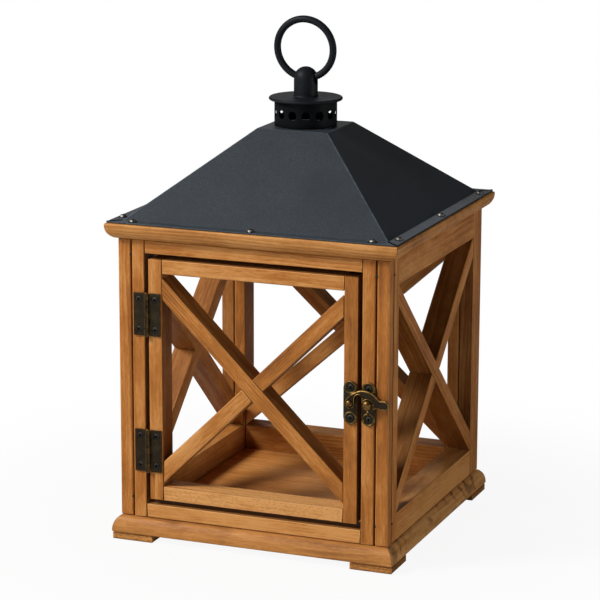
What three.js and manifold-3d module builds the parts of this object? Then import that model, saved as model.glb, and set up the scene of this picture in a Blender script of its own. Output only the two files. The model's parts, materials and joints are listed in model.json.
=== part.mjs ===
// A square hanging lantern: a pine case braced with X frames, a hinged door held by a swing hook,
// and a folded sheet roof with a vented collar, a round cap and a hanging ring.
// Millimetres. +Z is up, the door faces -Y, and the origin is under the centre of the feet.
import * as THREE from "three";
import { mergeVertices } from "three/addons/utils/BufferGeometryUtils.js";
import Module from "manifold-3d";

const wasm = await Module();
wasm.setup();

// ---------------------------------------------------------------- driving dimensions

const SEAM = 0.25; // glue line between neighbouring pieces
const EASE = 0.7; // rounding of sawn edges
const QUARTER = Math.PI / 2;

// Case
const CASE_HALF = 98.1; // centre to the outer faces of the corner posts
const STOCK = 18; // depth of the framing strips
const FOOT = { side: 30, height: 5, inset: 0.5 };
const BASE = { half: 103.2, bottom: FOOT.height, top: 16.8, roundOut: 7.2, roundUp: 10.6, toe: 1 };
const CROWN = { half: 105.2, bottom: 212.9, top: 223.9, roundOut: 7.6, roundUp: 9.4, toe: 1.4 };
const MOULDING_INNER_HALF = 80;
const FLOOR = { half: 79.6, bottom: 11.8, top: 18 };
const POST = { width: 9.15, depth: 7.7 };
const GROOVE = 1.1; // shadow line between a post and the strips beside it
const DOORWAY_HALF = 78.7; // centre to the inner edges of the door jambs
const BACK_HALF = 79.4; // centre to the inner edges of the back stiles
const SIDE_STILE = { depth: 10, inner: 80.1 };
const RAIL_TALL = 19; // side and back rails
const HEADER_TALL = 9;
const SILL_TALL = 9.8;
const BRACE = { width: 10.5, depth: 17, recess: 0.3 };

// Door
const DOOR = { half: 75.9, bottom: 30.4, top: 200.2, depth: 17, stile: 9.9, rail: 10, braceDrop: 3.1 };

// Hinges: surface leaves with the knuckle in front of the gap beside the door
const HINGE = {
  x: -76.6,
  heights: [161.5, 65.3],
  tall: 30,
  reach: 9.9,
  leaf: 0.9,
  standOff: 0.15,
  knuckle: 1.6,
  pin: 0.75,
  running: 0.3,
  knuckles: 5,
  screwAcross: 6,
  screwUp: 10.5,
  screwHole: 1.2,
};

// Swing hook latch
const LATCH = {
  z: 114.9,
  doorX: 71.2,
  jambX: 84.1,
  plateWidth: 10,
  plateTall: 30,
  plate: 1,
  standOff: 0.1,
  screwUp: 10.5,
  screwHole: 1.2,
  shoulder: 2.4,
  shoulderTall: 0.55,
  shank: 1.3,
  rivetHead: 2.6,
  rivetDome: 1.6,
  stud: 1.6,
  studTall: 2.6,
  studHead: 3.4,
  studDome: 2.7,
};
const HOOK = { thick: 1.8, eye: 3.4, running: 0.3, notch: 3.9 };

// Roof, vent and ring
const ROOF = {
  sheet: 0.8,
  flangeHalf: 104.1,
  slopeHalf: 95.3,
  plateHalf: 26,
  plateTop: 281.5,
  vent: 18,
};
const COLLAR = { radius: 21.7, sheet: 1, holes: 14, holeRadius: 3, holeZ: 290.6, turnDeg: -94 };
const CAP = { radius: 25.6, bottom: 299.3, top: 301.5 };
const KNOB = { radius: 8.3, domeCentre: 314, weld: 1.2 };
const RING = { radius: 20.5, wire: 2.45, z: 314.4, running: 0.3, leanDeg: 4 };

const pine = { roughness: 0.62, metalness: 0 };
const material = {
  frame: new THREE.MeshStandardMaterial({ color: 0xb57736, ...pine }),
  door: new THREE.MeshStandardMaterial({ color: 0xb87c3c, ...pine }),
  moulding: new THREE.MeshStandardMaterial({ color: 0xbb7f40, ...pine }),
  floor: new THREE.MeshStandardMaterial({ color: 0x94602b, ...pine }),
  roof: new THREE.MeshStandardMaterial({ color: 0x34383c, roughness: 0.55, metalness: 0.4 }),
  vent: new THREE.MeshStandardMaterial({ color: 0x24262a, roughness: 0.5, metalness: 0.4 }),
  bronze: new THREE.MeshStandardMaterial({ color: 0x4a4030, roughness: 0.45, metalness: 0.9 }),
};

// ---------------------------------------------------------------- shape helpers

const lantern = new THREE.Group();

function node(parent, name, geometry, look) {
  const mesh = new THREE.Mesh(geometry, look);
  mesh.name = name;
  parent.add(mesh);
  return mesh;
}

function shapeOf(points) {
  return new THREE.Shape(points.map(([x, y]) => new THREE.Vector2(x, y)));
}

function rectangle(x0, x1, y0, y1) {
  return [[x0, y0], [x1, y0], [x1, y1], [x0, y1]];
}

// A flat board: its outline is extruded from z = -depth to z = 0, with eased edges on both faces.
function board(points, depth, ease = EASE) {
  const geometry = new THREE.ExtrudeGeometry(shapeOf(points), {
    depth: depth - 2 * ease,
    bevelThickness: ease,
    bevelSize: ease,
    bevelOffset: -ease,
    bevelSegments: 2,
  });
  return geometry.translate(0, 0, ease - depth);
}

// A flat plate from z0 to z1 with sharp edges. The outline may have holes.
function plate(shape, z0, z1, curveSegments = 12) {
  const geometry = new THREE.ExtrudeGeometry(shape, {
    depth: z1 - z0,
    bevelEnabled: false,
    curveSegments,
  });
  return geometry.translate(0, 0, z0);
}

// A turned solid about +Z from [radius, height] points.
function turned(points, segments) {
  const profile = points.map(([r, z]) => new THREE.Vector2(r, z));
  return new THREE.LatheGeometry(profile, segments).rotateX(QUARTER);
}

// Points on an arc in [radius, height] form.
function arc(r, z, radius, fromDeg, toDeg, steps) {
  return Array.from({ length: steps + 1 }, (_, i) => {
    const a = THREE.MathUtils.degToRad(fromDeg + ((toDeg - fromDeg) * i) / steps);
    return [r + radius * Math.cos(a), z + radius * Math.sin(a)];
  });
}

function solid(geometry) {
  const bare = geometry.clone();
  bare.deleteAttribute("normal");
  bare.deleteAttribute("uv");
  const merged = mergeVertices(bare, 1e-4);
  const mesh = new wasm.Mesh({
    numProp: 3,
    vertProperties: new Float32Array(merged.attributes.position.array),
    triVerts: new Uint32Array(merged.index.array),
  });
  return new wasm.Manifold(mesh);
}

function geometryOf(manifold) {
  const mesh = manifold.getMesh();
  const geometry = new THREE.BufferGeometry();
  geometry.setAttribute("position", new THREE.BufferAttribute(mesh.vertProperties, 3));
  geometry.setIndex(new THREE.BufferAttribute(mesh.triVerts, 1));
  geometry.computeVertexNormals();
  return geometry;
}

// ---------------------------------------------------------------- walls of the case

// Each wall has its own frame: x runs along the wall as seen from outside, y is the height, and
// z = 0 is the outer face of the case, with z growing outwards.
function wall(turn) {
  const side = new THREE.Group();
  side.rotation.z = turn;
  const face = new THREE.Group();
  face.rotation.x = QUARTER;
  face.position.y = -CASE_HALF;
  side.add(face);
  lantern.add(side);
  return face;
}

const walls = {
  front: wall(0),
  right: wall(QUARTER),
  back: wall(2 * QUARTER),
  left: wall(-QUARTER),
};

// Outlines of one continuous brace and the two half braces that butt against it.
// The X is centred on (0, centre) and its arms end on the stiles at x = -half and x = half.
function crossOutlines(half, centre, upperLimit, drop) {
  const limit = upperLimit - centre - drop;
  let rise = limit;
  for (let i = 0; i < 30; i++) rise = limit - BRACE.width / 2 / Math.cos(Math.atan2(rise, half));
  const slope = rise / half;
  const v = limit - rise; // half the vertical thickness of an arm
  const long = [
    [-half, centre + rise + v],
    [-half, centre + rise - v],
    [half, centre - rise - v],
    [half, centre - rise + v],
  ];
  const tip = SEAM / (2 * slope);
  const heel = (2 * v + SEAM) / (2 * slope);
  const upper = [
    [tip, centre + v + SEAM / 2],
    [heel, centre + SEAM / 2],
    [half, centre + rise - v],
    [half, centre + rise + v],
  ];
  const lower = upper.map(([x, y]) => [-x, 2 * centre - y]);
  return { long, upper, lower };
}

function addCross(parent, prefix, outlines, look) {
  const names = { long: "brace_long", upper: "brace_half_upper", lower: "brace_half_lower" };
  for (const [part, name] of Object.entries(names)) {
    const geometry = board(outlines[part], BRACE.depth).translate(0, 0, -BRACE.recess);
    node(parent, `${prefix}_${name}`, geometry, look);
  }
}

const uprightBottom = BASE.top + SEAM;
const uprightTop = CROWN.bottom - SEAM;
const railTops = { top: uprightTop, bottom: uprightBottom + RAIL_TALL };

function addPosts(face, wallName) {
  const inner = CASE_HALF - POST.width;
  for (const [side, sign] of [["left", -1], ["right", 1]]) {
    const outline = rectangle(
      sign < 0 ? -CASE_HALF : inner,
      sign < 0 ? -inner : CASE_HALF,
      uprightBottom,
      uprightTop,
    );
    // The back wall is seen from behind, so its left end is the right end of the lantern.
    const corner = wallName === "front" ? side : side === "left" ? "right" : "left";
    node(face, `corner_post_${wallName}_${corner}`, board(outline, POST.depth, 1), material.frame);
  }
}

// The strip beside each post on the front and back walls: door jambs in front, stiles behind.
function addInnerUprights(face, names, inner) {
  const outer = CASE_HALF - POST.width - GROOVE;
  const spans = [
    [-outer, -inner],
    [inner, outer],
  ];
  spans.forEach(([x0, x1], i) => {
    const outline = rectangle(x0, x1, uprightBottom, uprightTop);
    node(face, names[i], board(outline, STOCK), material.frame);
  });
}

function addRail(face, name, half, bottom, top) {
  node(face, name, board(rectangle(-half, half, bottom, top), STOCK), material.frame);
}

function addRails(face, prefix, half) {
  for (const [level, top] of Object.entries(railTops)) {
    addRail(face, `${prefix}_rail_${level}`, half, top - RAIL_TALL, top);
  }
}

function addWallCross(face, prefix, half) {
  const centre = (railTops.top - RAIL_TALL + railTops.bottom) / 2;
  const outlines = crossOutlines(half, centre, railTops.top - RAIL_TALL, SEAM);
  addCross(face, prefix, outlines, material.frame);
}

function addFront() {
  const face = walls.front;
  const half = DOORWAY_HALF - SEAM;
  addPosts(face, "front");
  addInnerUprights(face, ["door_jamb_left", "door_jamb_right"], DOORWAY_HALF);
  addRail(face, "door_header", half, uprightTop - HEADER_TALL, uprightTop);
  addRail(face, "door_sill", half, uprightBottom, uprightBottom + SILL_TALL);
}

function addBack() {
  const face = walls.back;
  const half = BACK_HALF - SEAM;
  addPosts(face, "back");
  addInnerUprights(face, ["back_stile_right", "back_stile_left"], BACK_HALF);
  addRails(face, "back", half);
  addWallCross(face, "back", half);
}

function addSide(name) {
  const face = walls[name];
  const outer = CASE_HALF - POST.depth - GROOVE;
  const half = SIDE_STILE.inner - SEAM;
  const ends = name === "right" ? ["front", "back"] : ["back", "front"];
  const spans = [
    [-outer, -SIDE_STILE.inner],
    [SIDE_STILE.inner, outer],
  ];
  spans.forEach(([x0, x1], i) => {
    const outline = rectangle(x0, x1, uprightBottom, uprightTop);
    const geometry = board(outline, SIDE_STILE.depth - SEAM);
    node(face, `${name}_stile_${ends[i]}`, geometry, material.frame);
  });
  addRails(face, name, half);
  addWallCross(face, name, half);
}

// ---------------------------------------------------------------- mouldings, floor and feet

// Cross sections as [distance from the lantern's axis, height], with an oval quarter round.
function crownSection() {
  const { half, bottom, top, roundOut, roundUp, toe } = CROWN;
  const shape = new THREE.Shape();
  shape.moveTo(MOULDING_INNER_HALF, bottom);
  shape.lineTo(half - roundOut, bottom);
  shape.absellipse(half - roundOut, bottom + roundUp, roundOut, roundUp, -QUARTER, 0, false);
  shape.lineTo(half, top - toe);
  shape.absarc(half - toe, top - toe, toe, 0, QUARTER, false);
  shape.lineTo(MOULDING_INNER_HALF, top);
  return shape;
}

function baseSection() {
  const { half, bottom, top, roundOut, roundUp, toe } = BASE;
  const shape = new THREE.Shape();
  shape.moveTo(MOULDING_INNER_HALF, bottom);
  shape.lineTo(half - toe, bottom);
  shape.absarc(half - toe, bottom + toe, toe, -QUARTER, 0, false);
  shape.lineTo(half, top - roundUp);
  shape.absellipse(half - roundOut, top - roundUp, roundOut, roundUp, 0, QUARTER, false);
  shape.lineTo(MOULDING_INNER_HALF, top);
  return shape;
}

// A strip of moulding along the front wall, mitred at 45 degrees at both ends: a point of the
// section at distance d from the axis ends at x = -d and x = d, less the glue line.
function mitredMoulding(section) {
  const geometry = new THREE.ExtrudeGeometry(section, {
    depth: 1,
    bevelEnabled: false,
    curveSegments: 6,
  });
  const at = geometry.attributes.position;
  for (let i = 0; i < at.count; i++) {
    const distance = at.getX(i);
    const height = at.getY(i);
    const end = at.getZ(i) > 0.5 ? 1 : -1;
    at.setXYZ(i, end * (SEAM - distance), -distance, height);
  }
  geometry.computeVertexNormals();
  return geometry;
}

function addMouldings(prefix, section) {
  const turns = { front: 0, right: QUARTER, back: 2 * QUARTER, left: -QUARTER };
  for (const [side, turn] of Object.entries(turns)) {
    const geometry = mitredMoulding(section);
    node(lantern, `${prefix}_${side}`, geometry, material.moulding).rotation.z = turn;
  }
}

function addFloorAndFeet() {
  const { half, bottom, top } = FLOOR;
  const floorBoard = board(rectangle(-half, half, -half, half), top - bottom, 0.4);
  node(lantern, "floor_board", floorBoard, material.floor).position.z = top;
  const corners = { front_left: [-1, -1], front_right: [1, -1], back_left: [-1, 1], back_right: [1, 1] };
  const side = FOOT.side / 2;
  const reach = BASE.half - FOOT.inset - side;
  for (const [corner, [sx, sy]] of Object.entries(corners)) {
    const geometry = board(rectangle(-side, side, -side, side), FOOT.height - SEAM, 0.6);
    const foot = node(lantern, `foot_${corner}`, geometry, material.moulding);
    foot.position.set(sx * reach, sy * reach, FOOT.height - SEAM);
  }
}

// ---------------------------------------------------------------- door

function addDoor() {
  const face = walls.front;
  const { half, bottom, top, depth, stile, rail, braceDrop } = DOOR;
  const inner = half - stile;
  const stiles = { left: [-half, -inner], right: [inner, half] };
  for (const [side, [x0, x1]] of Object.entries(stiles)) {
    node(face, `door_stile_${side}`, board(rectangle(x0, x1, bottom, top), depth), material.door);
  }
  const railHalf = inner - SEAM;
  const rails = { top: [top - rail, top], bottom: [bottom, bottom + rail] };
  for (const [level, [y0, y1]] of Object.entries(rails)) {
    const outline = rectangle(-railHalf, railHalf, y0, y1);
    node(face, `door_rail_${level}`, board(outline, depth), material.door);
  }
  const centre = (top + bottom) / 2;
  addCross(face, "door", crossOutlines(railHalf, centre, top - rail, braceDrop), material.door);
}

// ---------------------------------------------------------------- hinges

// Hinge parts are modelled about the knuckle axis, with x across the leaves, z along the pin and
// y towards the wood.
const hingeY = -CASE_HALF - HINGE.standOff - HINGE.knuckle;
const leafBack = HINGE.knuckle;
const leafFront = HINGE.knuckle - HINGE.leaf;

function hingeLeaf(sign) {
  const { tall, reach, knuckle, running, screwAcross, screwUp, screwHole } = HINGE;
  const near = knuckle + running;
  const [x0, x1] = sign < 0 ? [-reach, -near] : [near, reach];
  const shape = shapeOf(rectangle(x0, x1, -tall / 2, tall / 2));
  for (const up of [-screwUp, screwUp]) {
    const hole = new THREE.Path();
    hole.absarc(sign * screwAcross, up, screwHole, 0, 2 * Math.PI, true);
    shape.holes.push(hole);
  }
  // The plate's local z becomes -y, so it lies between the front and the back of the leaf.
  return solid(plate(shape, -leafBack, -leafFront, 5).rotateX(QUARTER));
}

function knuckleSection(sign, z0, z1) {
  const { knuckle, running } = HINGE;
  const barrel = new THREE.Shape();
  barrel.absarc(0, 0, knuckle, 0, 2 * Math.PI, false);
  const web = shapeOf(
    sign < 0
      ? rectangle(-knuckle - running - 0.1, 0, leafFront, leafBack)
      : rectangle(0, knuckle + running + 0.1, leafFront, leafBack),
  );
  return solid(plate(barrel, z0, z1, 10)).add(solid(plate(web, z0, z1)));
}

function hingeHalf(sign) {
  const { tall, knuckles, pin, running } = HINGE;
  const pitch = tall / knuckles;
  let half = hingeLeaf(sign);
  for (let i = sign < 0 ? 0 : 1; i < knuckles; i += 2) {
    const z0 = -tall / 2 + i * pitch;
    half = half.add(knuckleSection(sign, z0 + running / 2, z0 + pitch - running / 2));
  }
  const pinLength = tall + 2 * (sign < 0 ? 0.5 : 2);
  const pinRadius = sign < 0 ? pin : pin + running;
  const core = solid(new THREE.CylinderGeometry(pinRadius, pinRadius, pinLength, 14).rotateX(QUARTER));
  return geometryOf(sign < 0 ? half.add(core) : half.subtract(core));
}

function addHinges() {
  ["upper", "lower"].forEach((level, i) => {
    for (const [half, sign] of [["jamb", -1], ["door", 1]]) {
      const leaf = node(lantern, `hinge_${level}_${half}_leaf`, hingeHalf(sign), material.bronze);
      leaf.position.set(HINGE.x, hingeY, HINGE.heights[i]);
    }
  });
}

// ---------------------------------------------------------------- latch

// Latch parts are modelled in the front wall's frame, with z = 0 on the face of the case.
const plateFace = LATCH.standOff + LATCH.plate;
const hookBack = plateFace + LATCH.shoulderTall + HOOK.running / 2;
const hookFace = hookBack + HOOK.thick;

function latchPlate(x) {
  const { plateWidth, plateTall, screwUp, screwHole, standOff, z } = LATCH;
  const radius = plateWidth / 2;
  const straight = plateTall / 2 - radius;
  const shape = new THREE.Shape();
  shape.absarc(x, z + straight, radius, 0, Math.PI, false);
  shape.absarc(x, z - straight, radius, Math.PI, 2 * Math.PI, false);
  for (const up of [-screwUp, screwUp]) {
    const hole = new THREE.Path();
    hole.absarc(x, z + up, screwHole, 0, 2 * Math.PI, true);
    shape.holes.push(hole);
  }
  return solid(plate(shape, standOff, plateFace, 10));
}

function dome(radius, height, base, steps) {
  return Array.from({ length: steps + 1 }, (_, i) => {
    const a = (QUARTER * i) / steps;
    return [radius * Math.cos(a), base + height * Math.sin(a)];
  });
}

function addLatchPlates() {
  const { doorX, jambX, z, shoulder, shank, rivetHead, rivetDome } = LATCH;
  const sunk = plateFace - LATCH.plate / 2;
  const shoulderTop = plateFace + LATCH.shoulderTall;
  const headBase = hookFace + HOOK.running / 2;
  const rivet = turned(
    [
      [0, sunk],
      [shoulder, sunk],
      [shoulder, shoulderTop],
      [shank, shoulderTop],
      [shank, headBase],
      [rivetHead, headBase],
      ...dome(rivetHead, rivetDome, headBase, 4),
    ],
    20,
  ).translate(doorX, z, 0);
  const { stud, studTall, studHead, studDome } = LATCH;
  const studBase = plateFace + studTall;
  const mushroom = turned(
    [
      [0, sunk],
      [stud + 0.5, sunk],
      [stud + 0.5, plateFace + 0.4],
      [stud, plateFace + 0.8],
      [stud, studBase],
      [studHead - 0.4, studBase],
      ...dome(studHead, studDome, studBase + 0.3, 5),
    ],
    24,
  ).translate(jambX, z, 0);
  const face = walls.front;
  const doorPlate = geometryOf(latchPlate(doorX).add(solid(rivet)));
  const jambPlate = geometryOf(latchPlate(jambX).add(solid(mushroom)));
  node(face, "latch_door_plate", doorPlate, material.bronze);
  node(face, "latch_jamb_plate", jambPlate, material.bronze);
}

// The hook is an arched arm: an eye on the rivet, an arch over the stud with a round notch that
// opens downwards, and a thumb tab at its free end. Its outline starts on the eye, runs under the
// arch to the notch, round the tab and back over the top.
function addHook() {
  const { thick, eye, running, notch } = HOOK;
  const reach = LATCH.jambX - LATCH.doorX;
  const tab = { x: reach + 11.7, y: 1, radius: 3.2 };
  const throat = 0.3; // how far below the stud's height the notch's inner side stops, in radians
  const eyeStart = 0.75 * Math.PI;
  const shape = new THREE.Shape();
  const bend = (...points) => shape.splineThru(points.map(([x, y]) => new THREE.Vector2(x, y)));
  shape.absarc(0, 0, eye, eyeStart, 2.05 * Math.PI, false);
  bend(
    [3.9, 5.1],
    [6.6, 6.7],
    [reach - notch - 0.3, 5.0],
    [reach - notch * Math.cos(throat), notch * Math.sin(throat)],
  );
  shape.absarc(reach, 0, notch, Math.PI - throat, -1.5 * throat, true);
  bend([reach + 4.6, -2.4], [reach + 6.2, -1.5], [reach + 8.6, -1.9]);
  shape.absarc(tab.x, tab.y, tab.radius, -0.9 * QUARTER, 0.9 * QUARTER, false);
  bend(
    [reach + 8.7, 4.1],
    [reach + 6.2, 6.2],
    [reach + 3.2, 8.5],
    [reach - 1.5, 9.8],
    [reach - 6.0, 9.4],
    [2.2, 7.2],
    [-0.8, 4.8],
    [eye * Math.cos(eyeStart), eye * Math.sin(eyeStart)],
  );
  const bore = new THREE.Path();
  bore.absarc(0, 0, LATCH.shank + running, 0, 2 * Math.PI, true);
  shape.holes.push(bore);
  const geometry = plate(shape, hookBack, hookBack + thick, 6);
  node(walls.front, "latch_hook_arm", geometry, material.bronze).position.set(LATCH.doorX, LATCH.z, 0);
}

// ---------------------------------------------------------------- roof, vent and ring

// A square turned solid: four sides, with half widths in place of radii.
function squareTurned(points) {
  const corners = points.map(([half, z]) => [half * Math.SQRT2, z]);
  return turned(corners, 4).rotateZ(QUARTER / 2);
}

function addRoof() {
  const { sheet, flangeHalf, slopeHalf, plateHalf, plateTop, vent } = ROOF;
  const under = CROWN.top + SEAM;
  const over = under + sheet;
  const pitch = Math.atan2(plateTop - over, slopeHalf - plateHalf);
  const inset = sheet * Math.tan(pitch / 2); // keeps the sheet one thickness through the folds
  const shell = squareTurned([
    [0, plateTop - sheet],
    [plateHalf - inset, plateTop - sheet],
    [slopeHalf - inset, under],
    [flangeHalf, under],
    [flangeHalf, over],
    [slopeHalf, over],
    [plateHalf, plateTop],
    [0, plateTop],
  ]);
  const hole = new THREE.CylinderGeometry(vent, vent, 20, 28).rotateX(QUARTER).translate(0, 0, plateTop);
  node(lantern, "roof_shell", geometryOf(solid(shell).subtract(solid(hole))), material.roof);
}

function addCollar() {
  const { radius, sheet, holes, holeRadius, holeZ, turnDeg } = COLLAR;
  const bottom = ROOF.plateTop + SEAM;
  const top = CAP.bottom - SEAM;
  const inner = radius - sheet;
  let tube = solid(
    turned([[inner, bottom], [radius, bottom], [radius, top], [inner, top], [inner, bottom]], 42),
  );
  for (let i = 0; i < holes / 2; i++) {
    const turn = THREE.MathUtils.degToRad(turnDeg) + (2 * Math.PI * i) / holes;
    const drill = new THREE.CylinderGeometry(holeRadius, holeRadius, 3 * radius, 12);
    drill.rotateZ(QUARTER).rotateZ(turn).translate(0, 0, holeZ);
    tube = tube.subtract(solid(drill));
  }
  node(lantern, "vent_collar", geometryOf(tube), material.vent);
}

// The hole through the knob is bell mouthed, so that the curve of the ring can turn in it.
function ringHole() {
  const { radius, wire, running } = RING;
  const half = KNOB.radius + 1;
  const steps = 8;
  const profile = [[0, -half]];
  for (let i = 0; i <= steps; i++) {
    const along = -half + (2 * half * i) / steps;
    const sagitta = radius - Math.sqrt(radius * radius - along * along);
    profile.push([wire + running + sagitta, along]);
  }
  profile.push([0, half]);
  return turned(profile, 20).rotateY(QUARTER).translate(0, 0, RING.z);
}

function addCap() {
  const rim = (CAP.top - CAP.bottom) / 2;
  const { radius, domeCentre, weld } = KNOB;
  const cap = turned(
    [
      [0, CAP.bottom],
      [CAP.radius - rim, CAP.bottom],
      ...arc(CAP.radius - rim, CAP.bottom + rim, rim, -60, 60, 4),
      [CAP.radius - rim, CAP.top],
      [radius + weld, CAP.top],
      [radius + weld / 3, CAP.top + weld / 3],
      [radius, CAP.top + weld],
      ...arc(0, domeCentre, radius, 0, 75, 5),
      [0, domeCentre + radius],
    ],
    36,
  );
  node(lantern, "vent_cap", geometryOf(solid(cap).subtract(solid(ringHole()))), material.vent);
}

function addRing() {
  const { radius, wire, z, leanDeg } = RING;
  const profile = arc(radius, 0, wire, -180, 180, 12);
  const ring = turned(profile, 40).rotateX(QUARTER).translate(0, 0, radius);
  const mesh = node(lantern, "hanging_ring", ring, material.vent);
  mesh.position.z = z;
  mesh.rotation.x = THREE.MathUtils.degToRad(leanDeg);
}

// ---------------------------------------------------------------- assembly

addFloorAndFeet();
addMouldings("base_moulding", baseSection());
addFront();
addSide("right");
addBack();
addSide("left");
addMouldings("top_moulding", crownSection());
addDoor();
addHinges();
addLatchPlates();
addHook();
addRoof();
addCollar();
addCap();
addRing();

export default lantern;
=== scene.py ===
"""The looks of a square wooden lantern with a sheet roof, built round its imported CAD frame.

Metres, +Z up, the door faces -Y. Small hardware is drawn in millimetres and placed by a matrix
that scales it down.
"""
import json
import math
import random

import bmesh
import bpy
from mathutils import Matrix, Vector


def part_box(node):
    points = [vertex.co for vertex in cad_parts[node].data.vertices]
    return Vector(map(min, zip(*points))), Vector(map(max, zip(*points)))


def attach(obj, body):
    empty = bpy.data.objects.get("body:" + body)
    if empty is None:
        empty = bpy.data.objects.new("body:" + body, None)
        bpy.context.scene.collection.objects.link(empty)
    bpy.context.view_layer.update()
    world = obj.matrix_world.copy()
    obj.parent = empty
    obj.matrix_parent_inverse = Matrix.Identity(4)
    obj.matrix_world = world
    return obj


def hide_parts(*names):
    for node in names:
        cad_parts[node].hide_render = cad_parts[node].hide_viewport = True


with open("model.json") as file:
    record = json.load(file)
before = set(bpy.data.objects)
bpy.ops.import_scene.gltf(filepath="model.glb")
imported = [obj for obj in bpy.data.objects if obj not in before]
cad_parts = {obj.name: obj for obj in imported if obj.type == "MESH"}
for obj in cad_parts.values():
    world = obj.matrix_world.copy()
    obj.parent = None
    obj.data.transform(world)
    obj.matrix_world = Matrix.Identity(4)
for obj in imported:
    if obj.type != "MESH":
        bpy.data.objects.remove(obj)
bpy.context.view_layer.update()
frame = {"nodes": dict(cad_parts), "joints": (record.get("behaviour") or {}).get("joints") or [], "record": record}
joints = {joint["name"]: joint for joint in frame["joints"]}
slot_of = {part["node"]: part["material_slot"] for part in frame["record"]["subparts"]}
body_of = {
    node: body for body, nodes in frame["record"]["behaviour"]["bodies"].items() for node in nodes
}

MM = 0.001
TURN = 2 * math.pi
QUARTER = TURN / 4

# ---------------------------------------------------------------- sizes, in mm and degrees

SCREW = {"radius": 2.15, "height": 0.45, "slot": 0.75, "arm": 1.45, "depth": 0.9, "well": 0.45}
ROOF_SCREW = {"radius": 2.4, "height": 1.6, "slot": 0.9, "arm": 1.6, "depth": 1.3, "well": 0.6}
ROOF_SCREWS = {"inset": 4.5, "from_corner": 18, "stand": 0.6}
# How far a countersunk head lies under its plate, and how deep its shank and its well go.
SCREW_SINK = 0.2
SCREW_ROOT = -1.6
WELL_FLOOR = -0.45
# A leaf's near and far edges and its screws are measured from the pin's axis.
HINGE = {
    "tall": 30, "reach": 9.9, "near": 1.9, "leaf": 0.9, "corner": 0.6, "leaf_ease": 0.14,
    "knuckle": 1.6, "knuckles": 5, "gap": 0.3, "roll": 318, "tongue": 0.3, "knuckle_ease": 0.16,
    "screw_across": 6, "screw_up": 10.5, "hole": 2.55,
}
LATCH = {
    "width": 10, "tall": 30, "plate": 1, "ease": 0.3, "screw_up": 10.5, "hole": 2.6,
    "rim": 3.9, "rim_wire": 0.55, "rim_sunk": 0.1,
}
RIVET = {"foot": 4.0, "top": 3.6, "neck": 1.25, "head": 2.35, "sunk": 0.3, "clear": 0.15}
STUD = {"head": 3.4, "head_up": 2.9}
LEAF = {"across": -0.4, "up": -5.7, "out": 0.2, "tilt": -98}
HOOK_BEAD = {"thin": 0.24, "swell": 0.36, "sunk": 0.55}
ROOF = {
    "sheet": 0.8, "slope_half": 95.3, "plate_half": 26, "vent": 18, "hip": 1.1, "fold": 1.0,
    "lip": 0.25,
}
# A black strip across each corner of the flange, a painted shadow for the seam.
MITRE_SHADOW = {
    "inner": 0.3, "outer": 0.4, "half": 0.55, "corner": 0.3, "sunk": 0.1, "proud": 0.32,
    "ease": 0.12,
}
# The holes' turn is where the first one is, and their height is from the collar's foot.
COLLAR = {"holes": 14, "hole": 3, "hole_up": 8.85, "turn": -94, "sheet": 1, "rim": 0.2}
CAP = {"thick": 2.2, "knob": 8.3, "dome_centre": 314, "weld": 1.2}
RING = {"radius": 20.5, "wire": 2.45, "lean": 4, "running": 0.3}
# How far the boards' corners are rounded: all of them a little, the door stiles' ends more.
ARRIS = 0.4
STILE_CORNER = 1.8
BRAD = {"radius": 0.8, "line": 88.8, "heights": (30.8, 202), "proud": 0.03}

# Turned profiles of (radius, height). The stud's heights are from its plate's face.
PIN_END = [(0, -1.4), (1.15, -1.4), (1.15, -0.25), (0.9, 0), (0, 0.12)]
STUD_STEM = [(0, -0.3), (2.6, -0.3), (2.5, 0.35), (1.6, 0.9), (1.6, 2.6), (3.0, 2.6)]
LEAF_BLADE = [(0, -2.2), (0.5, -1.5), (0.85, -0.4), (0.8, 0.5), (0.4, 1.5), (0, 2.1)]

# ---------------------------------------------------------------- how each piece of wood looks

# The shade of a piece: below 0 is paler, above 0 is darker. The rest draw theirs at random.
TONES = {
    "corner_post_front_left": 0.1, "corner_post_front_right": 0.6, "door_jamb_left": -0.4,
    "door_jamb_right": 0.2, "door_header": -0.9, "door_sill": -1.8, "door_stile_left": 0.1,
    "door_stile_right": 1.1, "door_rail_bottom": -2.2, "door_rail_top": -0.4,
    "door_brace_long": 0.6, "top_moulding_front": -0.1, "base_moulding_front": 0.9,
    "right_rail_bottom": -1.6, "base_moulding_right": -1.0, "door_brace_half_upper": 0.8,
    "back_stile_left": 0.6, "corner_post_back_left": 0.6,
}
# The pieces that aren't longest along their grain, those with open pores and those with figure.
GRAIN_WAYS = {"floor_board": (1, 0, 0), "foot": (1, 0, 0)}
COARSE = {"door_rail_bottom": 0.42, "foot": 0.8}
FIGURES = {"base_moulding_right": 1.0, "top_moulding_right": 0.25}
# Which way a piece faces the gap round the door, where painted shade darkens it.
GAP_SIDES = {
    "door_jamb_left": (1, 0, 0), "door_stile_left": (-1, 0, 0), "door_stile_right": (1, 0, 0),
    "door_jamb_right": (-1, 0, 0), "door_header": (0, 0, -1), "door_sill": (0, 0, 1),
    "door_rail_top": (0, 0, 1), "door_rail_bottom": (0, 0, -1),
}
# Which way each braced panel faces. The narrow sides of its stiles and braces get painted shade
# too.
PANELS = {"door": (0, 1, 0), "back": (0, 1, 0), "left": (1, 0, 0), "right": (1, 0, 0)}
# How dark the painted shade on those narrow sides is, against that at the door's gap.
EDGE_SHADE = 0.65

# ---------------------------------------------------------------- stage, in metres and watts

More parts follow.
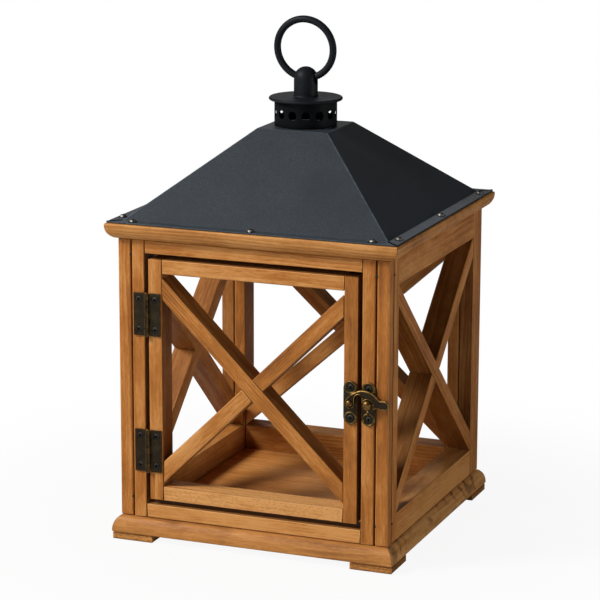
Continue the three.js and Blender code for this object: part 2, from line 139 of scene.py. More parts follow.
FLOOR = {"size": 14, "cells": 8, "near": 0.12, "far": 0.4, "white": 0.92, "grey": 0.6}
LIGHTS = {
    "key": {"place": (-1.45, -1.25, 1.75), "aim": 0.15, "size": (0.65, 0.65), "power": 67},
    "front": {"place": (-0.5, -2.3, 0.75), "aim": 0.15, "size": (0.9, 0.7), "power": 9},
    "fill": {"place": (2.1, 0.1, 0.16), "aim": 0.1, "size": (1.4, 0.26), "power": 11},
    "backdrop": {"place": (-0.9, 2.2, 1.25), "aim": 0.3, "size": (1.5, 0.8), "power": 3.5},
}
WORLD_GLOW = 0.05
# The camera looks at a point so far across its view and so far up the lantern. Its angles are
# in degrees, its lens and sensor in millimetres.
CAMERA = {
    "yaw": 21.5, "pitch": 13.26, "roll": 0.17, "aim": (-0.0036, 0.1569), "distance": 1.848,
    "lens": 157.7, "sensor": 36, "clip": (0.05, 60),
}


# ---------------------------------------------------------------- materials


class Nodes:
    """Builds one material's node tree. Each method returns the new node's output socket."""

    def __init__(self, name):
        self.material = bpy.data.materials.new(name)
        self.material.use_nodes = True
        self.tree = self.material.node_tree
        self.surface = next(n for n in self.tree.nodes if n.type == "BSDF_PRINCIPLED")

    def put(self, value, socket):
        if isinstance(value, bpy.types.NodeSocket):
            self.tree.links.new(value, socket)
        else:
            socket.default_value = value

    def add(self, kind, inputs, output=0, **settings):
        node = self.tree.nodes.new("ShaderNode" + kind)
        for key, value in settings.items():
            setattr(node, key, value)
        for key, value in inputs.items():
            self.put(value, node.inputs[key])
        return node.outputs[output]

    def attribute(self, name, output="Fac"):
        return self.add("Attribute", {}, output, attribute_name=name)

    def place(self):
        """The point's place in the piece's own frame, so that a pattern moves with the piece."""
        return self.add("TexCoord", {}, "Object")

    def stretched(self, vector, x, y, z):
        return self.add("VectorMath", {0: vector, 1: (x, y, z)}, operation="MULTIPLY")

    def noise(self, vector, scale, detail, roughness=0.5):
        inputs = {"Vector": vector, "Scale": scale, "Detail": detail, "Roughness": roughness}
        return self.add("TexNoise", inputs)

    def math(self, operation, a, b=0.0):
        return self.add("Math", {0: a, 1: b}, operation=operation)

    def plus(self, a, b):
        return self.math("ADD", a, b)

    def minus(self, a, b):
        return self.math("SUBTRACT", a, b)

    def times(self, a, b):
        return self.math("MULTIPLY", a, b)

    def remap(self, value, low, high, to_low=0.0, to_high=1.0):
        inputs = {"Value": value, "From Min": low, "From Max": high}
        inputs |= {"To Min": to_low, "To Max": to_high}
        return self.add("MapRange", inputs, interpolation_type="SMOOTHSTEP")

    def mix(self, factor, a, b):
        """Two colours mixed. Each is a socket or three numbers."""
        a, b = ((*c, 1) if isinstance(c, tuple) else c for c in (a, b))
        inputs = {0: factor, 6: a, 7: b}
        return self.add("Mix", inputs, 2, data_type="RGBA", clamp_result=True)

    def ramp(self, value, stops):
        colour = self.add("ValToRGB", {0: value})
        bar = colour.node.color_ramp
        while len(bar.elements) < len(stops):
            bar.elements.new(0.5)
        for element, (position, rgb) in zip(bar.elements, stops):
            element.position = position
            element.color = (*rgb, 1)
        return colour

    def bump(self, height, distance):
        return self.add("Bump", {"Height": height, "Distance": distance, "Strength": 1.0})

    def finish(self, **values):
        for name, value in values.items():
            self.put(value, self.surface.inputs[name.replace("_", " ")])
        return self.material


def linear(colour):
    """A colour given in everyday 0 to 255 values, as the linear one that shaders take."""
    def one(v):
        v /= 255
        return v / 12.92 if v <= 0.04045 else ((v + 0.055) / 1.055) ** 2.4
    return tuple(one(v) for v in colour)


def scaled(colour, *by):
    """A colour made brighter or darker, by one factor or by one for each channel."""
    factors = by if len(by) == 3 else by * 3
    return tuple(c * factor for c, factor in zip(colour, factors))


# The black of painted shade in screw recesses and round screw heads.
SHADE_BLACK = (0.002, 0.002, 0.002)
# The growth rings' width and how far they wander, in metres, how much each layer counts, how dark
# the painted shade on the sides round the door is, and how deep the relief is, in metres.
PINE = {
    "ring": 2.3 * MM, "wander": 8 * MM, "shade": 0.32, "late": 0.2, "streak": 0.42, "fibre": 0.7,
    "blotch": 0.7, "tone": 0.14, "pores": 0.5, "few_pores": 0.12, "arcs": 0.7, "smudge": 0.6,
    "gap": 0.55, "relief": 0.13 * MM,
}
COAT_GRAIN = 1300


def pine(name, light, middle, dark):
    """Stained softwood. The mesh attribute grain is (along, across, deep) in metres from the pith,
    tone is the piece's own shade, figure how strongly it is figured, coarse how open its pores are,
    end marks sawn ends, gap the sides darkened by painted shade and arris the rubbed corners."""
    light, middle, dark = linear(light), linear(middle), linear(dark)
    brown = scaled(dark, 0.35, 0.28, 0.3)
    n = Nodes(name)
    p = PINE
    grain = n.attribute("grain", "Vector")

    def layer(along, across, detail, roughness=0.5):
        """Noise with so many cells to the metre along the grain and across it."""
        return n.noise(n.stretched(grain, along, across, across), 1, detail, roughness)

    # Rings about the pith, each with a band of darker late wood at its end.
    from_pith = n.add("VectorMath", {0: n.stretched(grain, 0, 1, 1)}, "Value", operation="LENGTH")
    bent = n.plus(from_pith, n.times(layer(7, 50, 2), p["wander"]))
    ring = n.math("FRACT", n.times(bent, 1 / p["ring"]))
    late = n.times(n.remap(ring, 0.1, 0.92), n.remap(ring, 1.0, 0.92))
    late = n.times(late, n.remap(layer(10, 40, 2), 0.38, 0.6))
    streak = layer(13, 300, 3, 0.65)
    fibre = layer(120, 1100, 4, 0.8)
    blotch = layer(24, 60, 3, 0.6)
    shade = n.plus(n.times(late, p["late"]), p["shade"])
    for noise, weight in ((streak, p["streak"]), (fibre, p["fibre"]), (blotch, p["blotch"])):
        shade = n.plus(shade, n.times(n.minus(noise, 0.5), weight))
    shade = n.plus(shade, n.times(n.attribute("tone"), p["tone"]))
    colour = n.ramp(shade, [(0.08, light), (0.4, middle), (0.86, dark)])
    pores = n.remap(layer(520, 1100, 2, 0.6), 0.5, 0.66)
    pores = n.times(pores, n.plus(n.attribute("coarse"), p["few_pores"]))
    colour = n.mix(n.times(pores, p["pores"]), colour, brown)
    # Figure: broken arcs that cross the grain, and smudges.
    along = n.add("VectorMath", {0: grain, 1: (1, 0, 0)}, "Value", operation="DOT_PRODUCT")
    ripple = n.times(layer(30, 55, 2), 16)
    arcs = n.math("SINE", n.plus(n.times(along, 420), ripple))
    arcs = n.times(n.remap(arcs, 0.2, 1.0), n.remap(blotch, 0.42, 0.6))
    smudge = n.remap(layer(42, 60, 3), 0.54, 0.7)
    figure = n.math("MAXIMUM", n.times(arcs, p["arcs"]), n.times(smudge, p["smudge"]))
    colour = n.mix(n.times(figure, n.attribute("figure")), colour, brown)
    # Painted shade: the sides round the door and the panels' narrow sides are darkened to brown.
    colour = n.mix(n.times(n.attribute("gap"), p["gap"]), colour, brown)
    speckle = n.remap(n.noise(grain, 1100, 2), 0.35, 0.62, 0.1, 0.6)
    colour = n.mix(n.times(n.attribute("end"), speckle), colour, brown)
    rubbed = n.times(n.attribute("arris"), n.remap(streak, 0.35, 0.6, 0.1, 0.6))
    colour = n.mix(rubbed, colour, light)
    rough = n.remap(n.plus(streak, n.times(fibre, 0.5)), 0.5, 1.1, 0.48, 0.64)
    relief = n.minus(n.times(fibre, 0.6), n.times(late, 0.35))
    relief = n.minus(relief, n.times(pores, 0.8))
    normal = n.bump(relief, p["relief"])
    return n.finish(Base_Color=colour, Roughness=rough, Normal=normal, Specular_IOR_Level=0.18)


def powder_coat(name, tint, roughness, gloss):
    """Fine textured paint on steel. The mesh attribute fold marks the hips, creases and flange, which
    are painted lighter: a painted highlight on the hips and creases, painted light on the flange.
    """
    tint = linear(tint)
    n = Nodes(name)
    place = n.place()
    fine = n.noise(place, COAT_GRAIN, 2, 0.6)
    coarse = n.noise(place, COAT_GRAIN / 6, 2)
    cloud = n.noise(place, 22, 3)
    colour = n.mix(n.remap(fine, 0.35, 0.75), tint, scaled(tint, 1.9))
    colour = n.mix(n.times(n.remap(cloud, 0.4, 0.75), 0.6), colour, scaled(tint, 0.86))
    # Painted highlight along the hips and creases, and painted light on the flange.
    highlight = n.times(n.attribute("fold"), n.remap(coarse, 0.35, 0.7, 0.5, 1.0))
    colour = n.mix(highlight, colour, scaled(tint, 4.5))
    rough = n.remap(fine, 0.25, 0.75, roughness - 0.05, roughness + 0.08)
    normal = n.bump(n.plus(n.times(fine, 0.7), n.times(coarse, 0.5)), 0.05 * MM)
    return n.finish(Base_Color=colour, Roughness=rough, Normal=normal, Specular_IOR_Level=gloss)


def bronze(name, brown, brass, wear):
    """Browned brass. The mesh attribute rub marks where it is bright. Painted shade makes the screws'
    recesses and the wells round their heads black.
    """
    brown, brass = linear(brown), linear(brass)
    n = Nodes(name)
    place = n.place()
    mottle = n.noise(place, 420, 4, 0.65)
    stain = n.noise(place, 110, 3)
    colour = n.ramp(mottle, [(0.3, scaled(brown, 0.5)), (0.7, brown)])
    colour = n.mix(n.remap(stain, 0.45, 0.75), colour, scaled(brown, 1.1, 1.2, 1))
    rub = n.times(n.attribute("rub"), n.remap(mottle, 0.38, 0.6, 0.1, wear))
    # Painted shade: screw recesses and the wells round screw heads are black.
    recess_shade = n.attribute("recess_shade")
    colour = n.mix(recess_shade, n.mix(rub, colour, brass), SHADE_BLACK)
    rough = n.math("MAXIMUM", n.remap(rub, 0, 1, 0.5, 0.27), recess_shade)
    normal = n.bump(mottle, 0.07 * MM)
    return n.finish(Base_Color=colour, Metallic=0.9, Roughness=rough, Normal=normal)


def bright_metal(name, light, dark, roughness, scale):
    """Plated screws and worn brass, with fine scratches and a little dirt. Painted shade makes the
    screws' recesses and the wells round their heads black."""
    n = Nodes(name)
    place = n.place()
    dirt = n.noise(place, scale, 3, 0.6)
    scratch = n.noise(n.stretched(place, 1, 9, 1), scale * 2, 2)
    # Painted shade: screw recesses and the wells round screw heads are black.
    recess_shade = n.attribute("recess_shade")
    colour = n.mix(n.remap(dirt, 0.35, 0.68), linear(light), linear(dark))
    colour = n.mix(recess_shade, colour, SHADE_BLACK)
    rough = n.math("MAXIMUM", n.remap(scratch, 0.3, 0.7, roughness, roughness + 0.2), recess_shade)
    normal = n.bump(scratch, 0.02 * MM)
    return n.finish(Base_Color=colour, Metallic=1.0, Roughness=rough, Normal=normal)


LOOKS = {
    "pine_frame": (pine, (208, 147, 82), (172, 106, 44), (96, 49, 17)),
    "pine_door": (pine, (214, 154, 90), (174, 109, 46), (98, 51, 18)),
    "pine_moulding": (pine, (214, 158, 96), (186, 125, 63), (112, 62, 25)),
    # The floor's pine is paler than the frame's: painted light for the lantern's dim inside.
    "pine_floor": (pine, (214, 150, 84), (190, 122, 58), (124, 68, 26)),
    "roof_coat": (powder_coat, (41, 46, 51), 0.52, 0.33),
    "vent_coat": (powder_coat, (19, 21, 25), 0.5, 0.12),
    # The collar's coat is the vent's black made darker: painted shade under the cap.
    "collar_coat": (powder_coat, (9, 11, 13), 0.5, 0.06),
    "seam_shadow": (powder_coat, (2, 2, 3), 0.8, 0.0),
    "antique_bronze": (bronze, (58, 48, 35), (170, 132, 70), 0.6),
    "rubbed_bronze": (bronze, (92, 73, 44), (200, 160, 90), 0.8),
    "worn_brass": (bright_metal, (178, 140, 78), (84, 63, 34), 0.3, 420),
    "dull_brass": (bright_metal, (158, 122, 68), (54, 41, 24), 0.32, 520),
    "dark_screw": (bronze, (66, 63, 58), (128, 123, 112), 0.7),
    "plated_screw": (bright_metal, (172, 168, 160), (24, 23, 21), 0.42, 1400),
}
finishes = {name: make(name, *settings) for name, (make, *settings) in LOOKS.items()}


# ---------------------------------------------------------------- mesh helpers


def eased(points, radius, steps=3, closed=True):
    """Replaces each corner of a polyline by an arc of at most that radius."""
    out = []
    count = len(points)
    for i, here in enumerate(points):
        if not closed and i in (0, count - 1):
            out.append(here)
            continue
        here = Vector(here)
        before = Vector(points[i - 1]) - here
        after = Vector(points[(i + 1) % count]) - here
        angle = before.angle(after, math.pi)
        if angle > math.radians(176):
            out.append(tuple(here))
            continue
        back = min(radius / math.tan(angle / 2), 0.45 * before.length, 0.45 * after.length)
        start = here + before.normalized() * back
        end = here + after.normalized() * back
        for step in range(steps + 1):
            t = step / steps
            out.append(tuple(start.lerp(here, t).lerp(here.lerp(end, t), t)))
    return out


def circle(x, y, radius, steps):
    angles = [TURN * i / steps for i in range(steps)]
    return [(x + radius * math.cos(a), y + radius * math.sin(a)) for a in angles]


def arc(x, y, radius, start, end, steps):
    angles = [math.radians(start + (end - start) * i / steps) for i in range(steps + 1)]
    return [(x + radius * math.cos(a), y + radius * math.sin(a)) for a in angles]


def rectangle(x0, x1, y0, y1):
    return [(x0, y0), (x1, y0), (x1, y1), (x0, y1)]


def add_rings(bm, rings, closed=False):
    """Skins a list of rings of points. A ring of one point closes an end."""
    made = [[bm.verts.new(point) for point in ring] for ring in rings]
    if closed:
        made.append(made[0])
    for a, b in zip(made, made[1:]):
        count = max(len(a), len(b))
        for i in range(count):
            j = (i + 1) % count
            corners = [a[i % len(a)], a[j % len(a)], b[j % len(b)], b[i % len(b)]]
            bm.faces.new(dict.fromkeys(corners))


def add_lathe(bm, profile, place, segments):
    """Turns a profile of (radius, height) points, in millimetres, about local z."""
    rings = []
    for radius, height in profile:
        steps = segments if radius > 1e-6 else 1
        rings.append([place @ Vector((x, y, height)) for x, y in circle(0, 0, radius, steps)])
    add_rings(bm, rings)


def add_torus(bm, radius, wire, place, segments=96, sides=20):
    rings = []
    for i in range(segments):
        spin = Matrix.Rotation(TURN * i / segments, 4, "Z")
        section = circle(radius, 0, wire, sides)
        rings.append([place @ spin @ Vector((x, 0, z)) for x, z in section])
    add_rings(bm, rings, closed=True)


def add_mesh(bm, mesh, place):
    """Adds a copy of a mesh drawn in millimetres, placed by a matrix."""
    copy = mesh.copy()
    copy.transform(place)
    bm.from_mesh(copy)
    bpy.data.meshes.remove(copy)


def add_plate(bm, loops, back, front, ease, place):
    """A plate with rounded rims between two heights. The first loop is its rim, the rest holes."""
    curve = bpy.data.curves.new("outline", "CURVE")
    curve.dimensions = "2D"
    curve.fill_mode = "BOTH"
    curve.extrude = (front - back) / 2 - ease
    curve.bevel_depth = ease
    curve.bevel_resolution = 1
    curve.offset = -ease
    for loop in loops:
        spline = curve.splines.new("POLY")
        spline.points.add(len(loop) - 1)
        spline.use_cyclic_u = True
        for point, (x, y) in zip(spline.points, loop):
            point.co = (x, y, 0, 1)
    holder = bpy.data.objects.new("outline", curve)
    mesh = bpy.data.meshes.new_from_object(holder)
    add_mesh(bm, mesh, place @ Matrix.Translation((0, 0, (back + front) / 2)))
    bpy.data.objects.remove(holder)
    bpy.data.curves.remove(curve)
    bpy.data.meshes.remove(mesh)


def facing_front(x, z, out):
    """Millimetre drawings seen from the front: x right, y up and z out of the wall, placed at
    (x, z) in metres with their z = 0 at y = out."""
    turn = Matrix.Rotation(QUARTER, 4, "X")
    return Matrix.Translation((x, out, z)) @ turn @ Matrix.Scale(MM, 4)


def upright(x, y, z):
    """Millimetre drawings standing as they are drawn, with their origin at a place in metres."""
    return Matrix.Translation((x, y, z)) @ Matrix.Scale(MM, 4)


def mesh_from(bm, name, sharp=35):
    """The finished mesh, shaded smooth but for edges sharper than this many degrees."""
    bmesh.ops.remove_doubles(bm, verts=bm.verts, dist=2e-7)
    bmesh.ops.recalc_face_normals(bm, faces=bm.faces)
    mesh = bpy.data.meshes.new(name)
    bm.to_mesh(mesh)
    bm.free()
    mesh.shade_smooth()
    mesh.set_sharp_from_angle(angle=math.radians(sharp))
    return mesh


def cut(mesh, cutter):
    """mesh less cutter, both in the same frame."""
    block = bpy.data.objects.new("block", mesh)
    tool = bpy.data.objects.new("tool", cutter)
    for thing in (block, tool):
        bpy.context.scene.collection.objects.link(thing)
    boolean = block.modifiers.new("cut", "BOOLEAN")
    boolean.operation = "DIFFERENCE"
    boolean.solver = "EXACT"
    boolean.object = tool
    depsgraph = bpy.context.evaluated_depsgraph_get()
    result = bpy.data.meshes.new_from_object(block.evaluated_get(depsgraph))
    for thing in (block, tool):
        bpy.data.objects.remove(thing)
    return result


def piece(name, mesh, finish, body, replaced=()):
    """Puts a finished mesh into the scene, riding on its body. On bronze, the attribute rub marks
    the sides, which wear brighter than the faces."""
    thing = bpy.data.objects.new(name, mesh)
    mesh.materials.clear()
    mesh.materials.append(finishes[finish])
    bpy.context.scene.collection.objects.link(thing)
    if "bronze" in finish:
        rubs = mesh.attributes.new("rub", "FLOAT", "FACE")
        for polygon, rub in zip(mesh.polygons, rubs.data):
            rub.value = 1 - abs(polygon.normal.y) ** 3
    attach(thing, body)
    if replaced:
        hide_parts(*replaced)
    weighted = thing.modifiers.new("even_shading", "WEIGHTED_NORMAL")
    weighted.keep_sharp = True
    return thing


# ---------------------------------------------------------------- wood


def grain_direction(bm, node):
    """The way a piece's wood runs: along its longest edge, unless the piece is square."""
    for name, way in GRAIN_WAYS.items():
        if node.startswith(name):
            return Vector(way)
    longest = max(bm.edges, key=lambda edge: round(edge.calc_length(), 5))
    first, second = (vertex.co for vertex in longest.verts)
    return (second - first).normalized()


def round_corners(bm, edges, radius, segments, rubbed):
    """Rounds some edges, and marks the new faces with how far their stain is rubbed off."""
    marks = bm.faces.layers.float["arris"]
    made = bmesh.ops.bevel(bm, geom=edges, offset=radius, segments=segments, profile=0.5,
                           affect="EDGES", clamp_overlap=True)
    for face in made["faces"]:
        face[marks] = rubbed


def ease_edges(bm, node):
    """Takes the sharpness off a board's corners, and rounds a door stile's outer ends."""
    bm.faces.layers.float.new("arris")
    if node.startswith("door_stile"):
        outer = max(bm.verts, key=lambda vertex: abs(vertex.co.x)).co.x
        ends = [
            edge for edge in bm.edges
            if all(abs(vertex.co.x - outer) < 1e-5 for vertex in edge.verts)
            and abs((edge.verts[0].co - edge.verts[1].co).normalized().y) > 0.99
        ]
        round_corners(bm, ends, STILE_CORNER * MM, 4, 0.5)
    sharp = [
        edge for edge in bm.edges
        if edge.is_manifold and edge.is_convex and edge.calc_face_angle() > math.radians(40)
        and edge.calc_length() > 1.5 * ARRIS * MM
    ]
    round_corners(bm, sharp, ARRIS * MM, 2, 1.0)


def side_shade(node, normal):
    """How much painted shade a face gets: all of it at the gap round the door, some on the
    narrow sides of a panel's stiles and braces."""
    if normal.dot(Vector(GAP_SIDES.get(node, (0, 0, 0)))) > 0.8:
        return 1.0
    panel = PANELS.get(node.split("_")[0])
    if panel and ("stile" in node or "brace" in node) and abs(normal.dot(Vector(panel))) < 0.5:
        return EDGE_SHADE
    return 0.0


def wooden(node):
    """The CAD board with eased edges and its own cut of wood: grain runs along the piece, at a
    random place in the log."""
    chance = random.Random(node)
    bm = bmesh.new()
    bm.from_mesh(frame["nodes"][node].data)
    bmesh.ops.remove_doubles(bm, verts=bm.verts, dist=1e-6)
    bmesh.ops.dissolve_limit(bm, angle_limit=math.radians(1), verts=bm.verts, edges=bm.edges)
    along = grain_direction(bm, node)
    middle = sum((vertex.co for vertex in bm.verts), Vector()) / len(bm.verts)
    ease_edges(bm, node)
    across = along.cross(Vector((0.31, 0.42, 0.85))).normalized()
    deep = along.cross(across)
    angle = chance.uniform(0, TURN)
    pith = chance.uniform(16, 60) * MM
    shift = Vector((chance.uniform(-4, 4), pith * math.cos(angle), pith * math.sin(angle)))
    tone = TONES.get(node, chance.uniform(-0.5, 0.5))
    grain = bm.verts.layers.float_vector.new("grain")
    tones = bm.verts.layers.float.new("tone")
    figures = bm.verts.layers.float.new("figure")
    coarse = bm.verts.layers.float.new("coarse")
    ends = bm.faces.layers.float.new("end")
    gap_shades = bm.faces.layers.float.new("gap")
    openness = next((much for name, much in COARSE.items() if node.startswith(name)), 0.0)
    for vertex in bm.verts:
        off = vertex.co - middle
        vertex[grain] = Vector((off.dot(along), off.dot(across), off.dot(deep))) + shift
        vertex[tones] = tone
        vertex[figures] = FIGURES.get(node, 0.0)
        vertex[coarse] = openness
    bm.normal_update()
    for face in bm.faces:
        face[ends] = 1.0 if abs(face.normal.dot(along)) > 0.8 else 0.0
        # Painted shade on the sides round the door's gap and on the panels' narrow sides.
        face[gap_shades] = side_shade(node, face.normal)
    mesh = mesh_from(bm, node + "_wood", 50)
    piece(node + "_wood", mesh, slot_of[node], body_of[node], [node])


def add_wood():
    for node in sorted(slot_of):
        if slot_of[node].startswith("pine"):
            wooden(node)


def add_brads():
    """The brads that hold each post to its neighbours, as dark dots on the groove between them."""
    bm = bmesh.new()
    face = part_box("corner_post_front_left")[0].y
    r = BRAD["radius"]
    profile = [(0, -1), (r, -1), (r, 0), (0, BRAD["proud"])]
    for quarter in range(4):
        turn = Matrix.Rotation(quarter * QUARTER, 4, "Z")
        for side in (-1, 1):
            for up in BRAD["heights"]:
                place = facing_front(side * BRAD["line"] * MM, up * MM, face)
                add_lathe(bm, profile, turn @ place, 14)
    piece("brads", mesh_from(bm, "brads"), "dark_screw", "case")


# ---------------------------------------------------------------- screws


def screw_head(radius, height, slot, arm, depth, well):
    """A low domed head with a cross recess, in millimetres, seated on z = 0. A countersunk one has
    a well round it, this much wider than the head. The cross recess and everything outside the
    head's rim are marked for painted shade, which turns them black."""
    bm = bmesh.new()
    bulge = (radius**2 + height**2) / (2 * height)
    edge = math.degrees(math.asin(min(1, radius / bulge)))
    rim = radius + well
    profile = [(0, SCREW_ROOT), (rim, SCREW_ROOT), (rim, WELL_FLOOR), (radius, WELL_FLOOR)]
    profile += arc(0, height - bulge, bulge, 90 - edge, 89, 7)
    add_lathe(bm, profile + [(0, height)], Matrix(), 28)
    head = mesh_from(bm, "screw_head")
    for turn in (0, QUARTER):
        bar = bmesh.new()
        place = Matrix.Rotation(turn, 4, "Z")
        outline = rectangle(-arm, arm, -slot / 2, slot / 2)
        add_plate(bar, [outline], height - depth, height + 1, 0.02, place)
        head = cut(head, mesh_from(bar, "bar"))
    # Painted shade: the cross recess and everything outside the head's rim are marked to be black.
    recess_shades = head.attributes.new("recess_shade", "FLOAT", "FACE")
    for polygon, recess_shade in zip(head.polygons, recess_shades.data):
        out, z = polygon.center.xy.length, polygon.center.z
        surface = height - bulge + math.sqrt(max(0, bulge**2 - out**2))
        in_recess = out < arm + 0.05 and SCREW_ROOT + 0.1 < z < surface - 0.08
        recess_shade.value = 1.0 if in_recess or out > radius + 0.02 else 0.0
    return head


def add_screws(name, head, places, finish, body, sink=0.0):
    """One piece holding a screw head at each place, each turned at random."""
    chance = random.Random(name)
    bm = bmesh.new()
    for place in places:
        spin = Matrix.Rotation(chance.uniform(0, TURN), 4, "Z")
        add_mesh(bm, head, place @ Matrix.Translation((0, 0, -sink)) @ spin)
    piece(name, mesh_from(bm, name), finish, body)


# ---------------------------------------------------------------- hinges


def hinge_height(level):
    """The height of a hinge's middle, in metres."""
    low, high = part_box(f"hinge_{level}_door_leaf")
    return (low.z + high.z) / 2


def hinge_half(level, side, sign):
    """A leaf with its rolled knuckles, about the hinge axis. sign is -1 for the jamb's leaf."""
    node = f"hinge_{level}_{side}_leaf"
    axis = Vector(joints["door_hinge"]["pos_m"])
    height = hinge_height(level)
    h = HINGE
    back = h["knuckle"]
    half = h["tall"] / 2
    bm = bmesh.new()
    near, far = sorted((sign * h["near"], sign * h["reach"]))
    rim = eased(rectangle(near, far, -half, half), h["corner"])
    across = sign * h["screw_across"]
    holes = [circle(across, up, h["hole"], 28) for up in (-h["screw_up"], h["screw_up"])]
    place = facing_front(axis.x, height, axis.y)
    add_plate(bm, [rim, *holes], -back, h["leaf"] - back, h["leaf_ease"], place)
    # A knuckle's section is a roll with a tongue back to the leaf, extruded along the pin.
    tongue = sign * (h["near"] + h["tongue"])
    section = arc(0, 0, back, 270, 270 + sign * h["roll"], 26)
    section += [(tongue, h["leaf"] - back), (tongue, -back)]
    place = upright(axis.x, axis.y, height) @ Matrix.Scale(-1, 4, (0, 1, 0))
    pitch = h["tall"] / h["knuckles"]
    for i in range(0 if sign < 0 else 1, h["knuckles"], 2):
        start = -half + i * pitch + h["gap"] / 2
        add_plate(bm, [section], start, start + pitch - h["gap"], h["knuckle_ease"], place)
    name = f"hinge_{level}_{side}_plate"
    piece(name, mesh_from(bm, node), "antique_bronze", body_of[node], [node])


def add_hinge_pins():
    """The pins' small domed ends, above and below the knuckles."""
    axis = Vector(joints["door_hinge"]["pos_m"])
    bm = bmesh.new()
    for level in ("upper", "lower"):
        low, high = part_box(f"hinge_{level}_jamb_leaf")
        for z, up in ((high.z, 1), (low.z, -1)):
            place = upright(axis.x, axis.y, z) @ Matrix.Scale(up, 4, (0, 0, 1))
            add_lathe(bm, PIN_END, place, 20)
    piece("hinge_pin_ends", mesh_from(bm, "pins"), "worn_brass", "case")


def add_hinges():
    for level in ("upper", "lower"):
        hinge_half(level, "jamb", -1)
        hinge_half(level, "door", 1)
    add_hinge_pins()
    axis = Vector(joints["door_hinge"]["pos_m"])
    head = screw_head(**SCREW)
    seat = axis.y + (HINGE["knuckle"] - HINGE["leaf"]) * MM
    for side, body, sign in (("jamb", "case", -1), ("door", "door", 1)):
        x = axis.x + sign * HINGE["screw_across"] * MM
        places = [
            facing_front(x, hinge_height(level) + up * MM, seat)
            for level in ("upper", "lower") for up in (-HINGE["screw_up"], HINGE["screw_up"])
        ]
        name = f"hinge_screws_{side}"
        add_screws(name, head, places, "dark_screw", body, SCREW_SINK)


# ---------------------------------------------------------------- latch


def stadium(width, tall, steps=16):
    """An upright plate's outline with round ends."""
    half = width / 2
    straight = tall / 2 - half
    return arc(0, straight, half, 0, 180, steps) + arc(0, -straight, half, 180, 360, steps)


def latch_plate(x, z, face):
    """A plate with a hole for each screw. Returns the bmesh, still open for more, and its place."""
    bm = bmesh.new()
    h = LATCH
    place = facing_front(x, z, face + h["plate"] * MM)
    holes = [circle(0, up, h["hole"], 28) for up in (-h["screw_up"], h["screw_up"])]
    add_plate(bm, [stadium(h["width"], h["tall"]), *holes], 0, h["plate"], h["ease"], place)
    return bm, place


def latch_trim(name, place, knob, body, leaf=False):
    """The bright pieces on a latch plate: the rims round its screws and its turned knob."""
    h = LATCH
    bm = bmesh.new()
    for up in (-h["screw_up"], h["screw_up"]):
        seat = place @ Matrix.Translation((0, up, h["plate"] - h["rim_sunk"]))
        add_torus(bm, h["rim"], h["rim_wire"], seat, 40, 12)
    piece(name + "_rims", mesh_from(bm, name), "rubbed_bronze", body)
    bm = bmesh.new()
    add_lathe(bm, knob, place, 36)
    if leaf:
        root = Matrix.Translation((LEAF["across"], LEAF["up"], h["plate"] + LEAF["out"]))
        tilt = Matrix.Rotation(math.radians(LEAF["tilt"]), 4, "X")
        add_lathe(bm, LEAF_BLADE, place @ root @ tilt, 16)
    piece(name + "_knob", mesh_from(bm, name), "dull_brass", body)


def domed(radius, low, high, step):
    """The profile of a knob's head, from its rim up to its top."""
    angles = [math.radians(degrees) for degrees in range(0, 90, step)]
    rise = [(radius * math.cos(a), low + (high - low) * math.sin(a)) for a in angles]
    return [*rise, (0, high)]


def add_latch():
    pivot = Vector(joints["latch_pivot"]["pos_m"])
    door_low, door_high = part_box("latch_door_plate")
    jamb_low, jamb_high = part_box("latch_jamb_plate")
    hook_low, hook_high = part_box("latch_hook_arm")
    stud_x = (jamb_low.x + jamb_high.x) / 2
    plate = LATCH["plate"]
    face = door_high.y - plate * MM
    # The door's plate carries the rivet that the hook turns on.
    bm, place = latch_plate(pivot.x, pivot.z, face)
    r = RIVET
    root = plate - r["sunk"]
    under = (door_high.y - hook_high.y) / MM - r["clear"]
    over = (door_high.y - hook_low.y) / MM + r["clear"]
    boss = [(0, root), (r["foot"], root), (r["foot"], plate + r["clear"]), (r["top"], under),
            (0, under)]
    add_lathe(bm, boss, place, 40)
    mesh = mesh_from(bm, "plate")
    piece("latch_door_escutcheon", mesh, "antique_bronze", "door", ["latch_door_plate"])
    head_top = (door_high.y - door_low.y) / MM
    rivet = [(0, plate), (r["neck"], plate), (r["neck"], over)]
    rivet += domed(r["head"], over, head_top, 10)
    latch_trim("latch_door", place, rivet, "door")
    # The jamb's plate carries the mushroom stud that the hook drops over.
    bm, place = latch_plate(stud_x, pivot.z, face)
    mesh = mesh_from(bm, "plate")
    piece("latch_jamb_escutcheon", mesh, "antique_bronze", "case", ["latch_jamb_plate"])
    stud = [(radius, plate + up) for radius, up in STUD_STEM]
    stud += domed(STUD["head"], plate + STUD["head_up"], (jamb_high.y - jamb_low.y) / MM, 9)
    latch_trim("latch_jamb", place, stud, "case", leaf=True)
    head = screw_head(**SCREW)
    for side, body, x in (("door", "door", pivot.x), ("jamb", "case", stud_x)):
        heights = [pivot.z + up * MM for up in (-LATCH["screw_up"], LATCH["screw_up"])]
        places = [facing_front(x, z, face) for z in heights]
        name = f"latch_screws_{side}"
        add_screws(name, head, places, "dark_screw", body, SCREW_SINK)


def front_loops(node):
    """The closed outlines of a node's front face, the outer one first, in metres as (x, z)."""
    bm = bmesh.new()
    bm.from_mesh(frame["nodes"][node].data)
    bmesh.ops.remove_doubles(bm, verts=bm.verts, dist=1e-6)
    front = min(vertex.co.y for vertex in bm.verts)
    faces = {f for f in bm.faces if all(abs(v.co.y - front) < 1e-5 for v in f.verts)}
    rim = [e for e in bm.edges if len(faces.intersection(e.link_faces)) == 1]
    loops = []
    while rim:
        edge = rim.pop()
        loop = list(edge.verts)
        while True:
            step = next((e for e in rim if loop[-1] in e.verts), None)
            if step is None:
                break
            rim.remove(step)
            loop.append(step.other_vert(loop[-1]))
        loops.append([(v.co.x, v.co.z) for v in loop[:-1]])
    bm.free()
    return sorted(loops, key=lambda loop: min(x for x, _ in loop))


